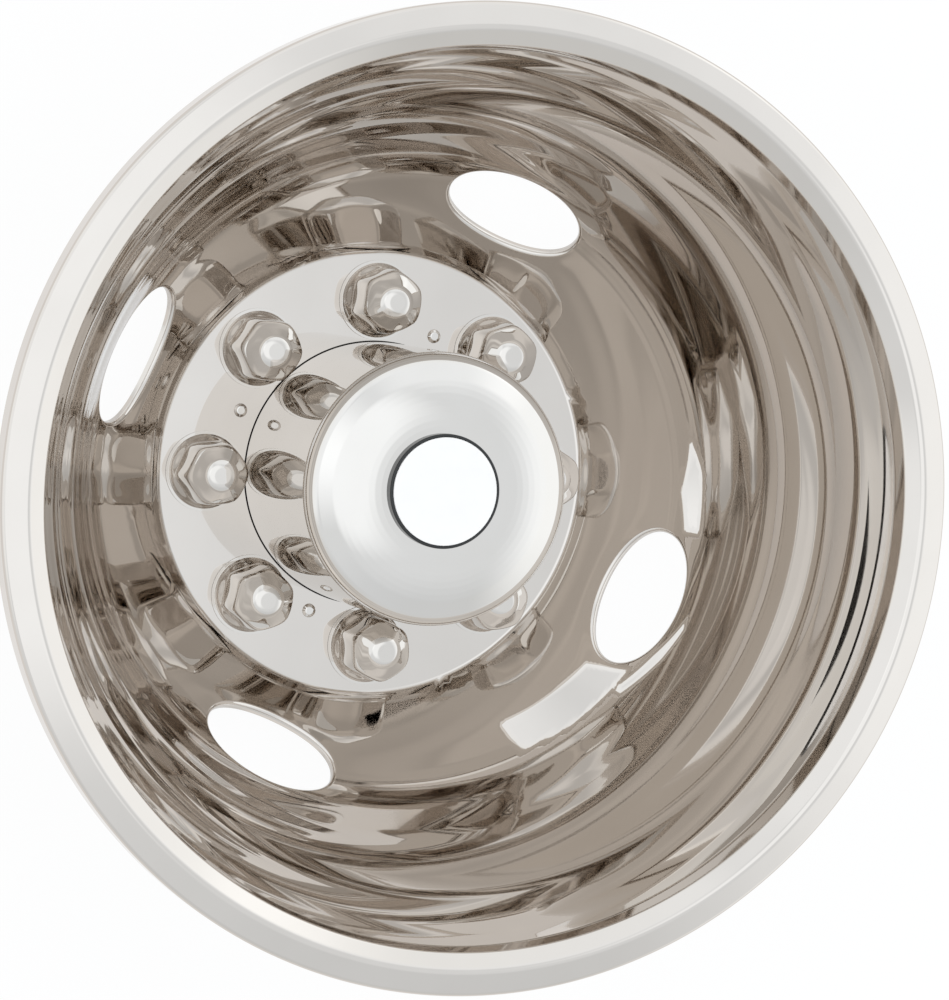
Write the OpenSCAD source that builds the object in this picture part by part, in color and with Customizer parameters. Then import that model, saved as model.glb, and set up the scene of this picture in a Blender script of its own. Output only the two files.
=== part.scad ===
// Rear truck wheel simulator: a polished pressed liner for an eight-stud dual
// wheel, with a hub cap, eight lug covers and the small parts that hold them.
// Z points out of the wheel, and the wheel's axis is the Z axis. Z = 0 is the
// plane of the lug covers' skirt ends, on which the part rests face up. Heights
// in the settings are measured from the front face of the flat lug ring.

/* [Sheet] */
// Thickness of the pressed liner
sheet = 0.8; // [0.6:0.1:1.2]
// Thickness of the hub cap and the lug covers
cap_sheet = 0.8; // [0.6:0.1:1.0]

/* [Lug ring] */
// Diameter of the bolt circle
bolt_circle = 165.1; // [164:0.1:166]
// Number of lugs
lug_count = 8; // [8:1:8]
// Angle of the first lug from +X
lug_phase = -2.2; // [-10:0.1:10]
// Radius where the flat ring meets the bowl
ring_r = 105.6; // [104.5:0.1:106.5]
// Radius of the bend between ring and bowl
ring_bend = 3; // [2:0.5:4]

/* [Bowl and barrel] */
// Radius of the top of the small step outside the flat ring
step_r = 109.2; // [109:0.1:110]
// Height of the small step
step_z = 4.6; // [4.2:0.1:4.8]
// Radius of the bend on top of the step
step_bend = 2; // [1.5:0.5:4]
// Radius where the bowl turns up, at the hand holes
bowl_r = 144.9; // [143:0.1:147]
// Height where the bowl turns up
bowl_z = 35.8; // [34:0.1:37]
// Radius of the bend of the bowl at the hand holes
bowl_bend = 26; // [20:1:30]
// Radius where the bowl turns into the barrel
barrel_r = 155; // [154:0.5:157]
// Height where the bowl turns into the barrel
barrel_z = 53.4; // [52:0.2:56]
// Radius of the bend between bowl and barrel
barrel_bend = 119; // [80:1:130]
// Radius where the barrel steepens below its crease
rise_r = 178.8; // [178:0.1:180]
// Height where the barrel steepens
rise_z = 109.5; // [108:0.1:111]
// Radius of the bend where the barrel steepens
rise_bend = 27; // [20:1:40]
// Radius of the barrel at its crease
crease_r = 182.3; // [182:0.1:182.8]
// Height of the crease
crease_z = 120.2; // [118:0.2:121]
// Radius of the barrel at the bead seat
seat_r = 190.8; // [189:0.1:193]
// Height of the bead seat
seat_z = 140; // [138:0.5:143]
// Radius of the bend at the bead seat
seat_bend = 47; // [15:1:60]
// Radius of the barrel below the lip
mouth_r = 199.3; // [198:0.1:201]
// Height of the end of the barrel
mouth_z = 162; // [160:1:164]

/* [Lip] */
// Radius of the crest of the lip
crest_r = 208; // [206:0.5:211]
// Height of the crest of the lip
crest_z = 175; // [172:1:178]
// Outside radius of the lip
lip_r = 220; // [218:0.5:223]
// Height of the outer edge of the lip
lip_edge_z = 172.5; // [170:0.5:175]
// Bend at the outer edge of the lip
lip_bend = 2.4; // [1.5:0.1:3]
// Depth of the turned-back flange outside the lip
lip_turn = 12; // [8:1:16]

/* [Hand holes] */
// Number of hand holes
hand_count = 4; // [4:1:4]
// Radius of the middle of a hand hole
hand_mid_r = 139.7; // [138:0.1:141]
// Clear length of a hand hole round the wheel
hand_len = 66.8; // [60:0.2:69]
// Clear width of a hand hole up the bowl
hand_wid = 40.4; // [36:0.2:42]
// Radius of the fold round a hand hole
hand_fold = 2.4; // [2.4:0.1:3]
// Depth of the lip turned back round a hand hole
hand_lip = 6.5; // [6.5:0.5:9]
// Turn of the hand holes from midway between two lugs
hand_turn = -1.2; // [-3:0.1:3]

/* [Hub cap] */
// Outside radius of the hub cap
hub_r = 62.9; // [61:0.1:62.9]
// Height where the side of the cap meets its face
hub_edge_z = 100; // [90:0.5:103]
// Width of the shoulder of the cap
hub_shoulder = 7; // [4:0.5:8]
// Height of the flat seat for the badge
hub_face_z = 107; // [104:0.5:112]
// Radius of the flat seat for the badge
hub_seat_r = 29.5; // [28:0.5:33]
// Width of the flange behind the ring
hub_flange = 2.1; // [1.5:0.1:2.2]
// Gap between the cap and the opening in the ring
hub_gap = 0.6; // [0.4:0.1:0.8]

/* [Badge] */
// Radius of the badge plug
badge_r = 26.2; // [22:0.2:27]
// Thickness of the badge plug
badge_t = 3; // [1.5:0.1:4]
// Width of the plug's edge round the badge face
badge_edge = 1.4; // [1:0.1:2]
// Height of the badge face above the plug
badge_face_t = 0.4; // [0.3:0.1:0.6]

/* [Lug covers] */
// Hexagon across flats
lug_af = 28.6; // [28:0.1:30]
// Height of a cover above the ring
lug_h = 31.5; // [26:0.5:36]
// Height where the hexagon ends and the shoulder starts
lug_hex_h = 19; // [15:0.5:21]
// Radius of the flat disc on top
lug_top_r = 5.2; // [5:0.1:8]
// Lean of the shoulder's foot and width of the top disc's soft edge
lug_lean = 1.1; // [0.8:0.1:1.4]
// Radius of the bend in the shoulder
lug_bend = 7; // [5:0.5:8]
// Radius of the base flange
lug_flange_r = 19; // [18:0.1:19.2]
// Thickness of the base flange
lug_flange_t = 1.1; // [0.8:0.1:1.5]
// Outside radius of the round skirt through the ring
lug_skirt_r = 14.5; // [14.3:0.1:14.6]
// Depth of the skirt behind the ring
lug_skirt_d = 8; // [6:0.5:12]
// Gap between a skirt and its hole
lug_gap = 0.3; // [0.2:0.1:0.4]
// Angle of one corner of each cover's hexagon from +X, as fitted
lug_turns = [27, 14, 21, 54, 4, 17, 32, 9];

/* [Fasteners] */
// Outside radius of the push-on rings behind the covers
push_r = 17; // [16.5:0.1:17.2]
// Thickness of the push-on rings
push_t = 0.7; // [0.5:0.1:1]
// Distance of a rivet from the side of the hub cap
rivet_out = 9.1; // [8.5:0.1:12]
// Radius of a rivet head
rivet_head_r = 3.3; // [2.8:0.1:3.8]
// Height of a rivet head
rivet_head_h = 1.3; // [0.8:0.1:1.8]
// Radius of a rivet shank
rivet_shank_r = 1.9; // [1.5:0.1:2.2]
// Gap round a rivet shank
rivet_gap = 0.1; // [0.05:0.05:0.2]
// Width of a clip behind the hub cap's flange
clip_w = 14; // [10:1:16]
// Thickness of a clip
clip_t = 1; // [0.8:0.1:1.4]
// Reach of a clip outward from its rivet
clip_tail = 8; // [6:0.5:10]

/* [Hidden] */
$fn = 96;
// Overshoot of a cutter past the face that it cuts
over = 1;
// Number of sides that draw a hand hole's outline
hand_sides = 40;
// Number of steps in a quarter turn of a fold
fold_steps = 4;
// Start of a fold above the face that it leaves, so that the two cross cleanly
fold_rise = 0.3;
// Reach of a cover's shoulder past the corners of its hexagon at its foot
lug_foot = 0.4;
// Angle from the start of a cover's round faces to a corner of its hexagon
hex_start = 15;
lug_step = 360 / lug_count;
hand_step = 360 / hand_count;
hand_phase = lug_phase - lug_step / 2 + hand_turn;
lug_circle_r = bolt_circle / 2;
lug_corner_r = lug_af / sqrt(3);
hub_open_r = hub_r + hub_gap;
hub_flange_r = hub_open_r + hub_flange;
rivet_circle = hub_r + rivet_out;
ring_back = -sheet;
flange_back = ring_back - cap_sheet;
skirt_end = ring_back - lug_skirt_d;

// Lifts a child from the frame of the lug ring's front face to the part's frame
module from_ring() {
  translate([0, 0, -skirt_end]) children();
}

// Points on a fillet of radius f that rounds the corner b between a and c
function fillet(a, b, c, f, n) =
  let (
    u = (a - b) / norm(a - b),
    v = (c - b) / norm(c - b),
    half = acos(u * v) / 2,
    back = f / tan(half),
    mid = b + (u + v) / norm(u + v) * f / sin(half),
    p = b + u * back - mid,
    q = b + v * back - mid,
    sweep = 180 - 2 * half,
    side = (p[0] * q[1] - p[1] * q[0]) > 0 ? 1 : -1
  )
  [for (i = [0:n]) let (t = side * sweep * i / n)
    mid + [p[0] * cos(t) - p[1] * sin(t), p[0] * sin(t) + p[1] * cos(t)]];

// A line through corners [r, z, fillet], rounded at each corner that has one
function rounded(list, n = 6) = [
  for (i = [0:len(list) - 1])
    let (b = [list[i][0], list[i][1]], f = list[i][2])
    if (f == 0) b
    else let (
      a = [list[i - 1][0], list[i - 1][1]],
      c = [list[i + 1][0], list[i + 1][1]]
    )
    each fillet(a, b, c, f, n)
];

// Unit normal on the right of the line from a to b
function right_of(a, b) = [b[1] - a[1], a[0] - b[0]] / norm(b - a);

// The same line moved by d to its right, with mitred corners
function moved(line, d) = [
  for (i = [0:len(line) - 1])
    let (
      m = right_of(line[max(i - 1, 0)], line[max(i, 1)]),
      n = right_of(line[min(i, len(line) - 2)], line[min(i + 1, len(line) - 1)])
    )
    line[i] + (m + n) * d / (1 + m * n)
];

function reversed(list) = [for (i = [len(list) - 1:-1:0]) list[i]];

// A sheet of thickness t whose front is the line and whose back is on its right
module spun_sheet(line, t) {
  rotate_extrude() polygon(concat(line, reversed(moved(line, t))));
}

// Front line of the liner, from the hub opening out to the turned lip
liner_line = rounded([
  [hub_open_r, 0, 0],
  [ring_r, 0, ring_bend],
  [step_r, step_z, step_bend],
  [bowl_r, bowl_z, bowl_bend],
  [barrel_r, barrel_z, barrel_bend],
  [rise_r, rise_z, rise_bend],
  [crease_r, crease_z, 0],
  [seat_r, seat_z, seat_bend],
  [mouth_r, mouth_z, 6],
  [mouth_r + 1.2, crest_z - 4.5, 2],
  [crest_r, crest_z, 5],
  [lip_r, lip_edge_z, lip_bend],
  [lip_r, lip_edge_z - lip_turn, 0]
]);

// Places a child on the bolt circle at lug number i
module at_lug(i) {
  rotate(lug_phase + i * lug_step) translate([lug_circle_r, 0, 0]) children();
}

// Turns a child to hand hole number i
module at_hand(i) {
  rotate(hand_phase + i * hand_step) children();
}

// Length along the liner's line at each of its points, and the point at a length
line_runs = [for (
    i = 0, s = 0;
    i < len(liner_line);
    i = i + 1, s = i < len(liner_line) ? s + norm(liner_line[i] - liner_line[i - 1]) : s
  ) s];
line_rs = [for (i = [0:len(liner_line) - 1]) [line_runs[i], liner_line[i][0]]];
line_zs = [for (i = [0:len(liner_line) - 1]) [line_runs[i], liner_line[i][1]]];
function line_at(s) = [lookup(s, line_rs), lookup(s, line_zs)];

// Length along the line at the middle of a hand hole
bowl_steps = [for (i = [0:len(liner_line) - 1]) if (liner_line[i][0] < barrel_r)
  [liner_line[i][0], line_runs[i]]];
hand_mid_s = lookup(hand_mid_r, bowl_steps);

// A point by a hand hole: e outside its clear outline at angle a, h above the bowl
function hand_point(a, e, h) =
  let (
    s = hand_mid_s + (hand_wid / 2 + e) * cos(a),
    at = line_at(s),
    way = line_at(s + 1) - line_at(s - 1),
    turn = (hand_len / 2 + e) * sin(a) / hand_mid_r * 180 / PI,
    out = at[0] - h * way[1] / norm(way)
  )
  [out * cos(turn), out * sin(turn), at[1] + h * way[0] / norm(way)];

// A solid whose section [[e, h], ...] is carried round a hand hole's outline
module hand_loft(section) {
  m = len(section);
  n = hand_sides;
  ring = [for (j = [0:n - 1]) each [for (p = section) hand_point(j * 360 / n, p[0], p[1])]];
  quads = [for (j = [0:n - 1]) each [for (k = [0:m - 1])
    [j * m + k, j * m + (k + 1) % m, ((j + 1) % n) * m + (k + 1) % m, ((j + 1) % n) * m + k]]];
  polyhedron(ring, [for (q = quads) each [[q[0], q[1], q[2]], [q[0], q[2], q[3]]]]);
}

// A plug that fills a hand hole's outline [[e, h], ...] from top to bottom
module hand_plug(levels) {
  m = len(levels);
  n = hand_sides;
  ring = [for (p = levels) each [for (j = [0:n - 1]) hand_point(j * 360 / n, p[0], p[1])]];
  top = hand_point(0, -hand_wid / 2, levels[0][1]);
  foot = hand_point(0, -hand_wid / 2, levels[m - 1][1]);
  sides = [for (k = [0:m - 2]) each [for (j = [0:n - 1])
    let (a = k * n + j, b = k * n + (j + 1) % n, c = b + n, d = a + n)
    each [[a, c, b], [a, d, c]]]];
  lid = [for (j = [0:n - 1]) [m * n, j, (j + 1) % n]];
  base = [for (j = [0:n - 1]) [m * n + 1, (m - 1) * n + (j + 1) % n, (m - 1) * n + j]];
  polyhedron(concat(ring, [top, foot]), concat(sides, lid, base));
}

// The fold and turned lip round a hand hole, before its mouth is cut
module hand_collar() {
  inner = hand_fold - sheet;
  bend = [for (i = [0:fold_steps]) let (t = 90 * i / fold_steps)
    [hand_fold - inner * sin(t), fold_rise - sheet - inner * (1 - cos(t))]];
  hand_loft(concat(
    [[-sheet, -sheet / 4], [hand_fold, -sheet / 4]],
    bend,
    [[sheet, -hand_lip], [-sheet, -hand_lip]]
  ));
}

// The space inside a hand hole, with its rounded mouth
module hand_mouth() {
  bend = [for (i = [0:fold_steps]) let (t = 90 * i / fold_steps)
    [hand_fold * (1 - sin(t)), fold_rise - hand_fold * (1 - cos(t))]];
  hand_plug(concat([[hand_fold, over]], bend, [[0, -hand_lip - over]]));
}

module liner() {
  color("lightgray")
  from_ring()
  difference() {
    union() {
      spun_sheet(liner_line, sheet);
      for (i = [0:hand_count - 1]) at_hand(i) hand_collar();
    }
    for (i = [0:hand_count - 1]) at_hand(i) hand_mouth();
    for (i = [0:lug_count - 1]) at_lug(i)
      translate([0, 0, ring_back - over])
      cylinder(r = lug_skirt_r + lug_gap, h = sheet + 2 * over);
    for (i = [0:hand_count - 1]) at_hand(i)
      translate([rivet_circle, 0, ring_back - over])
      cylinder(r = rivet_shank_r + rivet_gap, h = sheet + 2 * over);
  }
}

// Height of the cap's face at radius r: a parabola from the seat to the shoulder
function face_z(r) =
  hub_face_z - (hub_face_z - hub_edge_z) * pow((r - hub_seat_r) / (hub_r - hub_seat_r), 2);
face_steps = 8;
face_end_r = hub_r - hub_shoulder;
hub_line = rounded(concat(
  [[0, hub_face_z, 0]],
  [for (i = [0:face_steps]) let (r = hub_seat_r + (face_end_r - hub_seat_r) * i / face_steps)
    [r, face_z(r), 0]],
  [[hub_r, face_z(hub_r), hub_shoulder - 1]],
  [[hub_r, ring_back, 0]]
));

module hub_cap() {
  color("lightgray")
  from_ring()
  union() {
    rotate_extrude() polygon(concat(hub_line, reversed(moved(hub_line, cap_sheet))));
    translate([0, 0, flange_back])
    difference() {
      cylinder(r = hub_flange_r, h = cap_sheet);
      translate([0, 0, -over]) cylinder(r = hub_r - cap_sheet, h = cap_sheet + 2 * over);
    }
  }
}

module badge_plug() {
  color("dimgray")
  from_ring()
  translate([0, 0, hub_face_z])
  rotate_extrude() polygon(rounded([
    [0, 0, 0],
    [badge_r, 0, 0],
    [badge_r, badge_t, 0.5],
    [0, badge_t, 0]
  ], 3));
}

module badge_face() {
  color("white")
  from_ring()
  translate([0, 0, hub_face_z + badge_t])
  cylinder(r = badge_r - badge_edge, h = badge_face_t);
}

// Outline of a cover's round envelope, drawn in by d
function lug_line(d) = concat(
  [[0, 0], [lug_af, 0], [lug_af, lug_hex_h - d]],
  rounded([
    [lug_corner_r + lug_foot - d, lug_hex_h - d, 0],
    [lug_corner_r - lug_lean - d, lug_hex_h + 5 * lug_lean - d, lug_bend],
    [lug_top_r + lug_lean - d / 2, lug_h - d, lug_bend / 2],
    [0, lug_h - d, 0]
  ], 4)
);

// Hexagon of a cover under its shoulder, drawn in by d
module lug_hex(d) {
  intersection() {
    rotate(hex_start) cylinder(r = lug_corner_r - d * 2 / sqrt(3), h = lug_h, $fn = 6);
    rotate_extrude() polygon(lug_line(d));
  }
}

module lug_cover(i) {
  color("lightgray")
  from_ring()
  at_lug(i)
  rotate(lug_turns[i] - lug_phase - i * lug_step - hex_start)
  difference() {
    union() {
      lug_hex(0);
      cylinder(r = lug_flange_r, h = lug_flange_t);
      translate([0, 0, skirt_end]) cylinder(r = lug_skirt_r, h = -skirt_end);
    }
    lug_hex(cap_sheet);
    translate([0, 0, skirt_end - over])
    cylinder(r = lug_skirt_r - cap_sheet, h = lug_flange_t - skirt_end + over);
  }
}

module push_ring(i) {
  color("slategray")
  from_ring()
  at_lug(i)
  translate([0, 0, ring_back - push_t])
  difference() {
    cylinder(r = push_r, h = push_t);
    translate([0, 0, -over]) cylinder(r = lug_skirt_r, h = push_t + 2 * over);
  }
}

module hub_clip(i) {
  color("slategray")
  from_ring()
  at_hand(i)
  difference() {
    union() {
      translate([hub_flange_r + hub_gap, -clip_w / 2, ring_back - clip_t])
      cube([rivet_circle + clip_tail - hub_flange_r - hub_gap, clip_w, clip_t]);
      translate([hub_r, -clip_w / 2, flange_back - clip_t])
      cube([hub_flange_r + hub_gap + clip_t - hub_r, clip_w, clip_t]);
    }
    translate([rivet_circle, 0, ring_back - clip_t - over])
    cylinder(r = rivet_shank_r + rivet_gap, h = clip_t + 2 * over);
  }
}

module rivet(i) {
  color("lightgray")
  from_ring()
  at_hand(i)
  translate([rivet_circle, 0, 0])
  union() {
    rotate_extrude() polygon(concat(
      [[0, 0], [rivet_head_r, 0]],
      [for (t = [15:15:75]) [rivet_head_r * cos(t), rivet_head_h * sin(t)]],
      [[0, rivet_head_h]]
    ));
    translate([0, 0, ring_back - clip_t]) cylinder(r = rivet_shank_r, h = sheet + clip_t);
    translate([0, 0, ring_back - clip_t - rivet_head_h / 2])
    cylinder(r = rivet_head_r * 0.8, h = rivet_head_h / 2);
  }
}

liner();
hub_cap();
badge_plug();
badge_face();
lug_cover(0);  // lug_cover_1
lug_cover(1);  // lug_cover_2
lug_cover(2);  // lug_cover_3
lug_cover(3);  // lug_cover_4
lug_cover(4);  // lug_cover_5
lug_cover(5);  // lug_cover_6
lug_cover(6);  // lug_cover_7
lug_cover(7);  // lug_cover_8
push_ring(0);  // push_ring_1
push_ring(1);  // push_ring_2
push_ring(2);  // push_ring_3
push_ring(3);  // push_ring_4
push_ring(4);  // push_ring_5
push_ring(5);  // push_ring_6
push_ring(6);  // push_ring_7
push_ring(7);  // push_ring_8
hub_clip(0);  // hub_clip_1
hub_clip(1);  // hub_clip_2
hub_clip(2);  // hub_clip_3
hub_clip(3);  // hub_clip_4
rivet(0);  // rivet_1
rivet(1);  // rivet_2
rivet(2);  // rivet_3
rivet(3);  // rivet_4
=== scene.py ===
# %% [markdown]
# # A rear wheel simulator in polished stainless steel
#
# The real part is one deep pressing of thin stainless sheet, with a tall hub
# cap in its middle and eight hexagonal covers over the wheel nuts. Nearly all
# that the eye gets from it is reflection, and each face mirrors its
# neighbours several times over. A mirror shows every fault of the mesh under
# it. So each shape is worked out from its own formula, and each face corner
# is given the exact normal of that formula.

# %% The fixed frame
import math
import bpy
import mathutils
import numpy as np
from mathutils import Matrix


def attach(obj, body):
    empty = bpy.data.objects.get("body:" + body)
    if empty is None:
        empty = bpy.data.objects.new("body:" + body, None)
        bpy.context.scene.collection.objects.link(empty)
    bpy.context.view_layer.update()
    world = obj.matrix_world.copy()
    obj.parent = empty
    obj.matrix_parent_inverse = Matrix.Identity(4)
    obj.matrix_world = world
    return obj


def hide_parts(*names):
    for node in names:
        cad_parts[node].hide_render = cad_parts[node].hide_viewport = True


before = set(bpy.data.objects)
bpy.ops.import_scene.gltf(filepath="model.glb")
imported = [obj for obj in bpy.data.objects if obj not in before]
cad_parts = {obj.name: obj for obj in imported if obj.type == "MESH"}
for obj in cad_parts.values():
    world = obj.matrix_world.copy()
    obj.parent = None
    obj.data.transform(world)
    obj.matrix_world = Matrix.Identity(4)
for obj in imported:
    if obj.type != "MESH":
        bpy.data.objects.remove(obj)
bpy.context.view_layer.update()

# %% [markdown]
# ## Lines with exact normals
#
# A press tool is turned on a lathe from straights and arcs. The same is done
# here: a line is a list of corners, each with a fillet. Its point and normal
# at any length come from the formulas of a straight and an arc, so that a
# straight wall reflects as a straight wall, right up to the bend. Lengths are
# in mm, and heights count from the front of the flat lug ring, which is
# RING_UP above the table.

# %% A line from corners
MM = 0.001
RING_UP = 8.8


def track(corners):
    """Rows of start length, r, z, heading and curvature: one for each straight and each
    fillet. A fillet takes radius times tan(half the turn) off both its straights."""
    pts = np.array([c[:2] for c in corners], float)
    rows, at, s = [], pts[0], 0.0
    for k in range(1, len(pts)):
        way = pts[k] - at
        heading = math.atan2(way[1], way[0])
        turn = cut = 0.0
        if k < len(pts) - 1 and corners[k][2] > 0:
            out = pts[k + 1] - pts[k]
            turn = (math.atan2(out[1], out[0]) - heading + math.pi) % (2 * math.pi) - math.pi
            cut = corners[k][2] * math.tan(abs(turn) / 2)
        run = np.hypot(*way) - cut
        rows.append((s, at[0], at[1], heading, 0.0))
        s += run
        at = at + way / np.hypot(*way) * run
        if cut > 0:
            rows.append((s, at[0], at[1], heading, math.copysign(1 / corners[k][2], turn)))
            s += corners[k][2] * abs(turn)
            at = pts[k] + out / np.hypot(*out) * cut
    return np.array(rows), s


def along(rows, s):
    """r, z and the normal on the left of the line at length s. On an arc the heading
    is its first heading plus curvature times length, and the point is its integral."""
    k = np.clip(np.searchsorted(rows[:, 0], s, "right") - 1, 0, len(rows) - 1)
    s0, r0, z0, h0, c = np.moveaxis(rows[k], -1, 0)
    h = h0 + c * (s - s0)
    flat, safe = c == 0, np.where(c == 0, 1, c)
    r = r0 + np.where(flat, (s - s0) * np.cos(h0), (np.sin(h) - np.sin(h0)) / safe)
    z = z0 + np.where(flat, (s - s0) * np.sin(h0), (np.cos(h0) - np.cos(h)) / safe)
    return r, z, -np.sin(h), np.cos(h)


def stations(rows, end, run=8.0, turn=6.0):
    """Lengths at which a line is drawn: every run mm of a straight, every turn degrees
    of an arc, and always at the joints between them."""
    ends = np.append(rows[1:, 0], end)
    out = [0.0]
    for (s0, _, _, _, c), s1 in zip(rows, ends):
        parts = (s1 - s0) / run if c == 0 else math.degrees(abs(c) * (s1 - s0)) / turn
        out += list(np.linspace(s0, s1, max(math.ceil(parts), 1) + 1)[1:])
    return np.array(out)


# %% [markdown]
# ## From grids to one closed mesh
#
# Each surface is a grid of points with a grid of normals. Where two grids
# share an edge their points are equal, so they are welded into one vertex,
# but each face corner keeps the normal of its own grid. A sharp edge stays
# sharp that way, and a smooth join stays smooth.

# %% Grids in one numbering
def gathered(grids):
    """All points in metres, all unit normals and all quads, with one numbering of the
    points through the grids."""
    pts, normals, quads, at = [], [], [], 0
    for p, n in grids:
        p = np.asarray(p, float)
        rows, cols = p.shape[:2]
        i = np.arange(rows * cols).reshape(rows, cols) + at
        pts.append(p.reshape(-1, 3))
        normals.append(np.broadcast_to(n, p.shape).reshape(-1, 3))
        quads.append(np.stack([i[:-1, :-1], i[1:, :-1], i[1:, 1:], i[:-1, 1:]], -1).reshape(-1, 4))
        at += rows * cols
    normals = np.concatenate(normals)
    normals = normals / np.maximum(np.linalg.norm(normals, axis=1, keepdims=True), 1e-12)
    return np.concatenate(pts) * MM, normals, np.concatenate(quads)


def turned_out(pts, normals, quads):
    """The quads, each going round so that its face looks along its corners' normals: the
    cross product of its diagonals tells which way it looks."""
    co = pts[quads]
    looks = np.cross(co[:, 2] - co[:, 0], co[:, 3] - co[:, 1])
    wrong = np.einsum("ij,ij->i", looks, normals[quads].sum(1)) < 0
    quads[wrong] = quads[wrong][:, ::-1]
    return quads


def faces_of(quads, same):
    """The corners of all faces and how many each face has, where same is the vertex that
    each point is welded into. A quad with one pair of equal neighbours becomes a
    triangle, and a quad with more of them is nothing."""
    v = same[quads]
    equal = np.stack([v[:, k] == v[:, (k + 1) % 4] for k in range(4)], 1)
    whole = ~equal.any(1)
    corners, counts = [quads[whole].reshape(-1)], [np.full(whole.sum(), 4)]
    for k in range(4):
        only = equal[:, k] & (equal.sum(1) == 1)
        corners.append(np.delete(quads[only], k, axis=1).reshape(-1))
        counts.append(np.full(only.sum(), 3))
    return np.concatenate(corners), np.concatenate(counts)


# %% Welding grids
def weld(name, grids, material, node):
    """One mesh object from grids of (points in mm, normals), in place of a CAD node.
    Points that round to the same 0.1 micron are one vertex."""
    pts, normals, quads = gathered(grids)
    quads = turned_out(pts, normals, quads)
    verts, same = np.unique(np.round(pts, 7), axis=0, return_inverse=True)
    same = same.reshape(-1)
    corners, counts = faces_of(quads, same)
    mesh = bpy.data.meshes.new(name)
    mesh.vertices.add(len(verts))
    mesh.vertices.foreach_set("co", verts.reshape(-1))
    mesh.loops.add(len(corners))
    mesh.loops.foreach_set("vertex_index", same[corners])
    mesh.polygons.add(len(counts))
    mesh.polygons.foreach_set("loop_start", np.concatenate([[0], np.cumsum(counts)[:-1]]))
    mesh.update(calc_edges=True)
    mesh.polygons.foreach_set("use_smooth", np.ones(len(counts), bool))
    mesh.normals_split_custom_set(normals[corners].tolist())
    mesh.materials.append(material)
    piece = bpy.data.objects.new(name, mesh)
    bpy.context.scene.collection.objects.link(piece)
    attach(piece, "root")
    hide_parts(node)
    print(name + ":", len(verts), "points,", int((counts - 2).sum()), "triangles")


# %% Grids from lines
def spin(r, z, nr, nz, turns):
    """A line spun round the wheel's axis: point (r cos t, r sin t, z) at each angle t,
    and the line's normal turned with it."""
    c, s = np.cos(turns), np.sin(turns)
    one = np.ones_like(turns)
    p = np.stack([np.outer(r, c), np.outer(r, s), np.outer(z + RING_UP, one)], -1)
    n = np.stack([np.outer(nr, c), np.outer(nr, s), np.outer(nz, one)], -1)
    return p, n


def back_of(grid, thickness):
    """The other face of a sheet: each point goes back along its normal."""
    p, n = grid
    return p - n * thickness, -n


def rim(front, back, way):
    """The cut edge of a sheet, from a row of front points to the row behind them,
    facing the given way."""
    return np.stack([front, back]), np.broadcast_to(way, (2,) + front.shape)


# %% [markdown]
# ## Finishes
#
# Polished stainless steel gives back two thirds of the red light and a little
# less of the blue, so one bounce looks white, two look warm grey and four
# look brown. That comes for nothing from a metal whose colour is its true
# reflectance. What the nodes add is what polishing leaves: a slow waviness of
# the thin sheet, the haze of the buffing wheel in patches, and fine lines.
# Real buffing lines are too fine to show, so they are drawn 0.6 mm wide.
# The nodes also paint shade: the seams where the hub cap and the covers
# meet the ring are coloured dark.

# %% Colour and node helpers
def colour(text):
    """Linear RGBA of an sRGB hex value: the sRGB curve undone channel by channel."""
    c = np.array([int(text[k:k + 2], 16) for k in (1, 3, 5)]) / 255
    return (*np.where(c <= 0.04045, c / 12.92, ((c + 0.055) / 1.055) ** 2.4), 1.0)


def add(mat, kind, inputs=None, **settings):
    """Adds a node to a material or the world, and sets or links its inputs."""
    node = mat.node_tree.nodes.new(kind)
    for key, value in settings.items():
        setattr(node, key, value)
    for key, value in (inputs or {}).items():
        if isinstance(value, bpy.types.NodeSocket):
            mat.node_tree.links.new(value, node.inputs[key])
        else:
            node.inputs[key].default_value = value
    return node


def blank(name):
    """A new material with only an output, and a function that links a shader to it."""
    mat = bpy.data.materials.new(name)
    mat.use_nodes = True
    mat.node_tree.nodes.clear()
    out = add(mat, "ShaderNodeOutputMaterial")
    return mat, lambda shader: mat.node_tree.links.new(shader.outputs[0], out.inputs[0])


# %% Polished stainless steel, buffed after pressing
HAZE_MM, LINE_MM, LINE_DEPTH = 35, 0.6, 0.0004
MIRROR, SATIN = 0.015, 0.05
# Painted shade: the seams where the hub cap and the covers meet the ring, and the cover skirts below it, are
# coloured this dark tone.
SEAM_SHADE = "#2b2927"


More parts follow.
